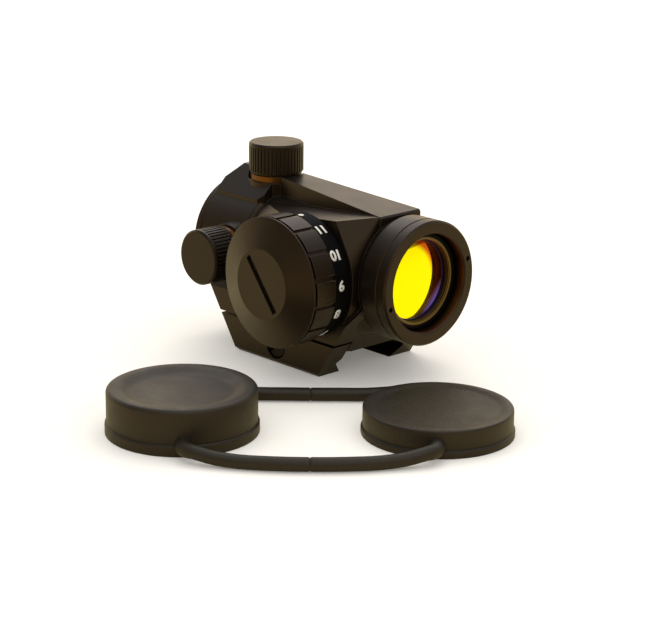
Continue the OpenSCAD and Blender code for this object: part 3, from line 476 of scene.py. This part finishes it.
def moulded(name, dark, light, roughness, size=1.2, gloss=0.5):
    # moulded or laminated plastic with a slight cloudiness
    made, tree = newMaterial(name)
    place = addNode(tree, "ShaderNodeTexCoord")
    cloud = addNode(tree, "ShaderNodeTexNoise", {"Vector": place.outputs["Object"], "Scale": perMm(size),
                                                 "Detail": 3.0})
    tone = addNode(tree, "ShaderNodeMix", {"Factor": cloud.outputs["Fac"], "A": linear(dark), "B": linear(light)},
                   data_type="RGBA")
    shader = addNode(tree, "ShaderNodeBsdfPrincipled", {"Base Color": tone.outputs["Result"], "IOR": 1.5,
                                                        "Roughness": roughness, "Specular IOR Level": gloss})
    closeMaterial(tree, shader)
    return made


lensOptics = {"front": 28.8, "height": 17.7, "curve": 90.0, "lean": (0.0, -0.025, 0.089), "shadeAmberAway": (0, -3.0, -0.6),
              "shadeAmberFrom": 8.3, "shadeAmberTo": 9.6, "glintVioletAt": (0, 0.75, -0.66), "glintVioletFrom": 7.0, "glintVioletTo": 9.0,
              "mirrorEdge": 8.8, "glassEdge": 9.0, "ringInside": 9.2, "ringReach": 2.75, "yellow": "#fff600",
              "shadeAmber": "#c05a16", "glintViolet": "#8a82f0", "rimTone": "#2c2558", "through": "#b4dcd8",
              "mirrorShare": 0.97, "bareShare": 0.2, "polish": 0.03}


def coatedLens():
    # dichroic mirror coating on glass: throws back yellow from a domed, canted face, with painted shade turning it
    # amber towards one side, a painted violet glint on one side and a bare rim, and lets the blue-green rest through to
    # the eye behind it
    made, tree = newMaterial("dichroicCoatedGlass")
    place = addNode(tree, "ShaderNodeTexCoord")
    centred = addNode(tree, "ShaderNodeMapping", {"Vector": place.outputs["Object"], "Scale": (0, 1, 1),
                                                  "Location": (0, 0, -lensOptics["height"] * mm)})
    radius = addNode(tree, "ShaderNodeVectorMath", {0: centred.outputs[0]}, operation="LENGTH")
    rim = addNode(tree, "ShaderNodeMapRange", {"Value": radius.outputs["Value"],
                                               "From Min": lensOptics["mirrorEdge"] * mm,
                                               "From Max": lensOptics["glassEdge"] * mm})
    # painted shade: the yellow turns amber towards the +Y side and the top, where the bezel wall's dark reflection
    # falls
    offSide = addNode(tree, "ShaderNodeVectorMath", {0: centred.outputs[0],
                                                     1: [c * mm for c in lensOptics["shadeAmberAway"]]},
                      operation="DISTANCE")
    shadeAmber = addNode(tree, "ShaderNodeMapRange", {"Value": offSide.outputs["Value"],
                                                 "From Min": lensOptics["shadeAmberFrom"] * mm,
                                                 "From Max": lensOptics["shadeAmberTo"] * mm})
    # painted highlight: a violet glint on the lower +Y edge of the lens, where the mirror coating is also thinned
    towardsGlint = addNode(tree, "ShaderNodeVectorMath", {0: centred.outputs[0], 1: lensOptics["glintVioletAt"]},
                            operation="DOT_PRODUCT")
    glintViolet = addNode(tree, "ShaderNodeMapRange", {"Value": towardsGlint.outputs["Value"],
                                                  "From Min": lensOptics["glintVioletFrom"] * mm,
                                                  "From Max": lensOptics["glintVioletTo"] * mm})
    throwBack = addNode(tree, "ShaderNodeMix", {"Factor": shadeAmber.outputs["Result"], "A": linear(lensOptics["yellow"]),
                                                "B": linear(lensOptics["shadeAmber"])}, data_type="RGBA")
    glance = addNode(tree, "ShaderNodeMix", {"Factor": glintViolet.outputs["Result"], "A": throwBack.outputs["Result"],
                                             "B": linear(lensOptics["glintViolet"])}, data_type="RGBA")
    tone = addNode(tree, "ShaderNodeMix", {"Factor": rim.outputs["Result"], "A": glance.outputs["Result"],
                                           "B": linear(lensOptics["rimTone"])}, data_type="RGBA")
    bare = addNode(tree, "ShaderNodeMath", {0: rim.outputs["Result"], 1: glintViolet.outputs["Result"]}, operation="MAXIMUM")
    coated = addNode(tree, "ShaderNodeMapRange", {"Value": bare.outputs[0], "To Min": lensOptics["mirrorShare"],
                                                  "To Max": lensOptics["bareShare"]})
    domed = addNode(tree, "ShaderNodeVectorMath", {0: centred.outputs[0],
                                                   "Scale": 1 / (lensOptics["curve"] * mm)}, operation="SCALE")
    leaning = addNode(tree, "ShaderNodeVectorMath", {0: domed.outputs[0], 1: lensOptics["lean"]}, operation="ADD")
    facing = addNode(tree, "ShaderNodeNewGeometry")
    pointing = addNode(tree, "ShaderNodeSeparateXYZ", {0: facing.outputs["Normal"]})
    ahead = addNode(tree, "ShaderNodeMath", {0: pointing.outputs["X"], 1: 0.5}, operation="GREATER_THAN")
    behind = addNode(tree, "ShaderNodeMath", {0: 1.0, 1: ahead.outputs[0]}, operation="SUBTRACT")
    canted = addNode(tree, "ShaderNodeVectorMath", {0: leaning.outputs[0], "Scale": ahead.outputs[0]},
                     operation="SCALE")
    turnedFace = addNode(tree, "ShaderNodeVectorMath", {0: facing.outputs["Normal"], 1: canted.outputs[0]},
                         operation="ADD")
    even = addNode(tree, "ShaderNodeVectorMath", {0: turnedFace.outputs[0]}, operation="NORMALIZE")
    mirror = addNode(tree, "ShaderNodeMath", {0: coated.outputs["Result"], 1: ahead.outputs[0]}, operation="MULTIPLY")
    shown = addNode(tree, "ShaderNodeMix", {"Factor": ahead.outputs[0], "A": linear(lensOptics["through"]),
                                            "B": tone.outputs["Result"]}, data_type="RGBA")
    shader = addNode(tree, "ShaderNodeBsdfPrincipled", {
        "Base Color": shown.outputs["Result"], "Roughness": lensOptics["polish"], "Metallic": mirror.outputs[0],
        "Transmission Weight": behind.outputs[0], "Normal": even.outputs[0]})
    closeMaterial(tree, shader)
    return made


ringGlintAndShadeBands = [(0.0, "#160d05"), (0.34, "#1a1007"), (0.4, "#54401c"), (0.47, "#1c1207"), (0.58, "#2a1b0a"),
             (0.66, "#775a26"), (0.74, "#20150a"), (0.84, "#84662a"), (1.0, "#241a0b")]


def lensRing():
    # ring in front of the lens: painted gold highlights on its turned steps, with painted shade in the dark roots
    # between them
    made, tree = newMaterial("lensRingPaintedGlints")
    place = addNode(tree, "ShaderNodeTexCoord")
    centred = addNode(tree, "ShaderNodeMapping", {"Vector": place.outputs["Object"], "Scale": (0, 1, 1),
                                                  "Location": (0, 0, -lensOptics["height"] * mm)})
    radius = addNode(tree, "ShaderNodeVectorMath", {0: centred.outputs[0]}, operation="LENGTH")
    apart = addNode(tree, "ShaderNodeSeparateXYZ", {0: place.outputs["Object"]})
    along = addNode(tree, "ShaderNodeMath", {0: apart.outputs["X"], 1: radius.outputs["Value"]}, operation="ADD")
    start = lensOptics["front"] + lensOptics["ringInside"]
    share = addNode(tree, "ShaderNodeMapRange", {"Value": along.outputs[0], "From Min": start * mm,
                                                 "From Max": (start + lensOptics["ringReach"]) * mm})
    ramp = addNode(tree, "ShaderNodeValToRGB", {"Fac": share.outputs["Result"]})
    stops = ramp.color_ramp.elements
    stops[1].position = 1.0
    for index, (where, tone) in enumerate(ringGlintAndShadeBands):
        stop = stops[0] if index == 0 else stops[-1] if index == len(ringGlintAndShadeBands) - 1 else stops.new(where)
        stop.color = linear(tone)
    shader = addNode(tree, "ShaderNodeBsdfPrincipled", {"Base Color": ramp.outputs["Color"], "Roughness": 0.4,
                                                        "Specular IOR Level": 0.15})
    closeMaterial(tree, shader)
    return made


def clearGlass():
    # plain polished window
    made, tree = newMaterial("polishedWindowGlass")
    place = addNode(tree, "ShaderNodeTexCoord")
    haze = addNode(tree, "ShaderNodeTexNoise", {"Vector": place.outputs["Object"], "Scale": perMm(6), "Detail": 3.0})
    film = addNode(tree, "ShaderNodeMapRange", {"Value": haze.outputs["Fac"], "To Min": 0.0, "To Max": 0.05})
    shader = addNode(tree, "ShaderNodeBsdfPrincipled", {
        "Base Color": linear("#eef6f4"), "Roughness": film.outputs["Result"], "IOR": 1.52,
        "Transmission Weight": 1.0})
    closeMaterial(tree, shader)
    return made


def ledLens():
    # clear red epoxy dome
    made, tree = newMaterial("redEpoxy")
    place = addNode(tree, "ShaderNodeTexCoord")
    depth = addNode(tree, "ShaderNodeTexNoise", {"Vector": place.outputs["Object"], "Scale": perMm(0.8)})
    tone = addNode(tree, "ShaderNodeMix", {"Factor": depth.outputs["Fac"], "A": linear("#8c120b"),
                                           "B": linear("#c8281a")}, data_type="RGBA")
    shader = addNode(tree, "ShaderNodeBsdfPrincipled", {"Base Color": tone.outputs["Result"], "Roughness": 0.12,
                                                        "IOR": 1.54})
    closeMaterial(tree, shader)
    return made


blackBody = anodised("blackAnodisedAluminium", "#0b0907", "#140f0a", 0.36)
capBody = anodised("knurledAnodisedAluminium", "#0a0806", "#110d09", 0.36, gloss=0.24)
dialFace = anodised("turnedAnodisedCap", "#0e0b08", "#18120c", 0.38, {"centre": (10, 0, 17.7), "axis": "Y"})
bezelFace = anodised("turnedAnodisedBezel", "#0e0b08", "#18120c", 0.38, {"centre": (0, 0, 17.7), "axis": "X"},
                     {"radius": 11.1, "tone": "#3a1203", "deep": 32.0, "mouth": 33.2})
innerBlack = moulded("matteInnerAnodising", "#050302", "#0a0604", 0.6, 3, 0.08)
# brass tones darkened throughout as painted shade, for the bushes that sit in shade under the caps
shadeDarkenedBrass = turnedMetal("turnedBrassDarkenedForShade", "#4c2e13", "#724a24", 0.36)
steel = turnedMetal("turnedSteel", "#77787c", "#a3a5a8", 0.3)
blackSteel = turnedMetal("blackenedSteel", "#171412", "#2a2520", 0.42)
blackPlastic = moulded("blackNylon", "#12100e", "#1a1815", 0.5)
boardLaminate = moulded("greenBoardLaminate", "#1c3f24", "#2c5d36", 0.45, 0.6)
finishOf = {
    blackBody: ("housing", "brightness_dial", "clamp_plate"),
    capBody: ("elevation_cap", "windage_cap"),
    dialFace: ("battery_cap",),
    bezelFace: ("objective_bezel", "eyepiece_bezel"),
    innerBlack: ("inner_tube",),
    lensRing(): ("lens_retainer",),
    shadeDarkenedBrass: ("elevation_bush", "windage_bush", "centre_contact", "switch_wiper", "battery_contact", "led_lead"),
    steel: ("elevation_drum", "windage_drum", "elevation_plunger", "windage_plunger", "pivot_ring", "tube_spring",
            "dial_retainer", "detent_ball", "detent_spring", "battery"),
    blackSteel: ("clamp_bolt",),
    sealRubber: ("objective_seal", "eyepiece_seal", "elevation_cap_seal", "windage_cap_seal", "battery_cap_seal"),
    blackPlastic: ("led_holder", "battery_tray"),
    boardLaminate: ("switch_board",),
    ledLens(): ("led_emitter",),
    coatedLens(): ("objective_lens",),
    clearGlass(): ("eyepiece_window",),
}
for finish, names in finishOf.items():
    for name in names:
        for slot in nodes[name].material_slots:
            slot.material = finish
print("finishes given")


# white numbers on a near-black, dull band round the dial
dialNumbers = {"centre": (10, 17.7), "radius": 14.1, "station": 17.5, "height": 2.45, "firstAngle": 86.0,
               "step": 27.692, "thickness": 0.05, "proud": 0.05, "strip": 0.2, "weight": 0.04, "fineness": 24,
               "spacing": 0.95, "dotRadius": 0.62, "dotSides": 32,
               "labels": ["", "11", "10", "9", "8", "7", "6", "5", "4", "3", "2", "1", "0"],
               "band": {"from": 15.25, "to": 19.55, "inside": 14.0, "outside": 14.12, "segments": 160}}
band = dialNumbers["band"]
ring = turned([(band["inside"], band["from"]), (band["outside"], band["from"]), (band["outside"], band["to"]),
               (band["inside"], band["to"]), (band["inside"], band["from"])], band["segments"])
bmesh.ops.remove_doubles(ring, verts=ring.verts, dist=0.001)
ring.transform(Matrix.Scale(mm, 4) @ Matrix.Translation((dialNumbers["centre"][0], 0, dialNumbers["centre"][1]))
               @ Matrix.Rotation(math.pi / 2, 4, "X"))
bmesh.ops.recalc_face_normals(ring, faces=ring.faces)
bandMesh = bpy.data.meshes.new("numberBand")
ring.to_mesh(bandMesh)
ring.free()
smoothMesh(bandMesh, 40)
bandMesh.materials.append(moulded("nearBlackDullBand", "#030202", "#070605", 0.7, 2, 0.06))
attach(addObject("numberBand", bandMesh), "dial")


def paint():
    # white enamel printed on the band: flat, faintly yellowed
    made, tree = newMaterial("whiteFillEnamel")
    place = addNode(tree, "ShaderNodeTexCoord")
    wear = addNode(tree, "ShaderNodeTexNoise", {"Vector": place.outputs["Object"], "Scale": perMm(0.7), "Detail": 3.0})
    tone = addNode(tree, "ShaderNodeMix", {"Factor": wear.outputs["Fac"], "A": linear("#cfc8b6"),
                                           "B": linear("#f4f0e4")}, data_type="RGBA")
    shader = addNode(tree, "ShaderNodeBsdfPrincipled", {"Base Color": tone.outputs["Result"], "Roughness": 0.55})
    closeMaterial(tree, shader)
    return made


def labelMesh(words):
    data = bpy.data.curves.new("label", "FONT")
    data.body = words
    data.resolution_u = dialNumbers["fineness"]  # at this weight, every digit fills without a flaw
    data.align_x, data.align_y = "CENTER", "CENTER"
    data.size = 1.0
    data.offset = dialNumbers["weight"]
    data.space_character = dialNumbers["spacing"]
    source = addObject("label", data)
    graph = bpy.context.evaluated_depsgraph_get()
    mesh = bpy.data.meshes.new_from_object(source.evaluated_get(graph))
    bpy.data.objects.remove(source)
    return mesh


digitMesh = labelMesh("0")
digitHeight = max(v.co.y for v in digitMesh.vertices) - min(v.co.y for v in digitMesh.vertices)
marks = bmesh.new()
for index, words in enumerate(dialNumbers["labels"]):
    part = bmesh.new()
    if words:
        part.from_mesh(labelMesh(words))
        scaleUp = dialNumbers["height"] / digitHeight
        middle = (max(v.co.y for v in part.verts) + min(v.co.y for v in part.verts)) / 2
        for v in part.verts:
            v.co = Vector((v.co.x * scaleUp, (v.co.y - middle) * scaleUp, 0))
    else:
        bmesh.ops.create_circle(part, cap_ends=True, segments=dialNumbers["dotSides"],
                                radius=dialNumbers["dotRadius"])
    count = int(dialNumbers["height"] / dialNumbers["strip"])
    for k in range(-count // 2, count // 2 + 1):
        bmesh.ops.bisect_plane(part, geom=part.verts[:] + part.edges[:] + part.faces[:],
                               plane_co=(0, k * dialNumbers["strip"], 0), plane_no=(0, 1, 0))
    bmesh.ops.recalc_face_normals(part, faces=part.faces)
    grown = bmesh.ops.extrude_face_region(part, geom=part.faces[:])
    for v in grown["geom"]:
        if isinstance(v, bmesh.types.BMVert):
            v.co.z = dialNumbers["thickness"]
    bmesh.ops.recalc_face_normals(part, faces=part.faces)
    start = math.radians(dialNumbers["firstAngle"] - index * dialNumbers["step"])
    for v in part.verts:
        angle = start - v.co.y / dialNumbers["radius"]
        reach = dialNumbers["radius"] + dialNumbers["proud"] - dialNumbers["thickness"] + v.co.z
        v.co = Vector((dialNumbers["centre"][0] + reach * math.cos(angle), -(dialNumbers["station"] + v.co.x),
                       dialNumbers["centre"][1] + reach * math.sin(angle))) * mm
    partMesh = bpy.data.meshes.new("part")
    part.to_mesh(partMesh)
    part.free()
    marks.from_mesh(partMesh)
bmesh.ops.recalc_face_normals(marks, faces=marks.faces)
numberMesh = bpy.data.meshes.new("dialNumbers")
marks.to_mesh(numberMesh)
marks.free()
numberMesh.materials.append(paint())
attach(addObject("dialNumbers", numberMesh), "dial")
print("numbers printed")


# stage: pale floor, white surroundings, one large soft lamp
stageLight = {"plain": 1.0, "sweepAt": (-0.72, 0.69, 0.0), "sweep": 1.75, "room": 0.3, "sweepEdge": (0.1, 0.85),
              "topAt": (0.45, -0.15, 0.88), "top": 2.0, "topEdge": (0.6, 0.95), "lowZ": 0.15, "highZ": 0.65,
              "skyTones": [(0.0, "#ffe4b5"), (0.4, "#ffefda"), (1.0, "#d2e5ff")],
              "tableTone": "#fcecb8", "floorGlow": 0.15, "mirrorShare": 0.3, "keyPower": 2.2, "keySize": 0.7,
              "keyPlace": (-0.25, 0.3, 0.75), "keyAim": (0.01, -0.01, 0.01), "keyTone": "#fff3e2",
              "floorHeight": -5.52, "floorReach": 4.0, "fibre": 30, "paper": ("#f0ede6", "#f6f4ee"),
              "glowTone": "#fffaf0"}
world = bpy.data.worlds.new("whiteStudio")
world.use_nodes = True
tree = world.node_tree
tree.nodes.clear()
path = addNode(tree, "ShaderNodeLightPath")
heading = addNode(tree, "ShaderNodeTexCoord")
towards = addNode(tree, "ShaderNodeVectorMath", {0: heading.outputs["Generated"], 1: stageLight["sweepAt"]},
                  operation="DOT_PRODUCT")  # the white sweep stands behind, the room in front is dim
sweep = addNode(tree, "ShaderNodeMapRange", {
    "Value": towards.outputs["Value"], "From Min": stageLight["sweepEdge"][0], "From Max": stageLight["sweepEdge"][1],
    "To Min": stageLight["room"], "To Max": stageLight["sweep"]})
overhead = addNode(tree, "ShaderNodeVectorMath", {0: heading.outputs["Generated"], 1: stageLight["topAt"]},
                   operation="DOT_PRODUCT")  # a soft box hangs above the front
softBox = addNode(tree, "ShaderNodeMapRange", {
    "Value": overhead.outputs["Value"], "From Min": stageLight["topEdge"][0], "From Max": stageLight["topEdge"][1],
    "To Min": 0.0, "To Max": stageLight["top"]})
shine = addNode(tree, "ShaderNodeMath", {0: sweep.outputs["Result"], 1: softBox.outputs["Result"]}, operation="ADD")
mirrored = addNode(tree, "ShaderNodeMix", {"Factor": path.outputs["Is Glossy Ray"], "A": stageLight["plain"],
                                           "B": shine.outputs[0]})
upward = addNode(tree, "ShaderNodeSeparateXYZ", {0: heading.outputs["Generated"]})
rise = addNode(tree, "ShaderNodeMapRange", {"Value": upward.outputs["Z"], "From Min": stageLight["lowZ"],
                                            "From Max": stageLight["highZ"]})
tones = addNode(tree, "ShaderNodeValToRGB", {"Fac": rise.outputs["Result"]})
tones.color_ramp.elements.new(stageLight["skyTones"][1][0])
for stop, (where, tone) in zip(tones.color_ramp.elements, stageLight["skyTones"]):
    stop.position, stop.color = where, linear(tone)
warmth = addNode(tree, "ShaderNodeMix", {"Factor": path.outputs["Is Glossy Ray"], "A": linear("#ffffff"),
                                         "B": tones.outputs["Color"]}, data_type="RGBA")
sky = addNode(tree, "ShaderNodeBackground", {"Color": warmth.outputs["Result"], "Strength": mirrored.outputs["Result"]})
addNode(tree, "ShaderNodeOutputWorld", {"Surface": sky.outputs[0]})
scene.world = world

floorMaterial, tree = newMaterial("whitePaperSweep")
place = addNode(tree, "ShaderNodeTexCoord")
fibre = addNode(tree, "ShaderNodeTexNoise", {"Vector": place.outputs["Object"], "Scale": perMm(stageLight["fibre"]),
                                             "Detail": 3.0})
paperTone = addNode(tree, "ShaderNodeMix", {"Factor": fibre.outputs["Fac"], "A": linear(stageLight["paper"][0]),
                                            "B": linear(stageLight["paper"][1])}, data_type="RGBA")
path = addNode(tree, "ShaderNodeLightPath")
reflected = addNode(tree, "ShaderNodeMix", {"Factor": path.outputs["Is Glossy Ray"], "A": paperTone.outputs["Result"],
                                            "B": linear(stageLight["tableTone"])}, data_type="RGBA")
paper = addNode(tree, "ShaderNodeBsdfDiffuse", {"Color": reflected.outputs["Result"]})
direct = addNode(tree, "ShaderNodeMath", {0: path.outputs["Is Camera Ray"], 1: path.outputs["Is Transmission Ray"]},
                 operation="MAXIMUM")
seen = addNode(tree, "ShaderNodeMath", {0: path.outputs["Is Glossy Ray"], 1: stageLight["mirrorShare"],
                                        2: direct.outputs[0]}, operation="MULTIPLY_ADD")
glowLevel = addNode(tree, "ShaderNodeMath", {0: seen.outputs[0], 1: stageLight["floorGlow"]}, operation="MULTIPLY")
glow = addNode(tree, "ShaderNodeEmission", {"Color": linear(stageLight["glowTone"]),
                                            "Strength": glowLevel.outputs[0]})
both = addNode(tree, "ShaderNodeAddShader", {0: paper.outputs[0], 1: glow.outputs[0]})
closeMaterial(tree, both)
floorMesh = bpy.data.meshes.new("floor")
reach, height = stageLight["floorReach"], stageLight["floorHeight"] * mm
floorMesh.from_pydata([(-reach, -reach, height), (reach, -reach, height), (reach, reach, height),
                       (-reach, reach, height)], [], [(0, 1, 2, 3)])
floorMesh.materials.append(floorMaterial)
floor = addObject("floor", floorMesh)

lampData = bpy.data.lights.new("softKey", "AREA")
lampData.energy = stageLight["keyPower"]
lampData.size = stageLight["keySize"]
lampData.color = linear(stageLight["keyTone"])[:3]
lamp = addObject("softKey", lampData)
lamp.location = stageLight["keyPlace"]
lamp.rotation_mode = "QUATERNION"
lamp.rotation_quaternion = (Vector(stageLight["keyAim"]) - lamp.location).to_track_quat("-Z", "Y")
scene.view_settings.view_transform = "Standard"
print("stage lit")
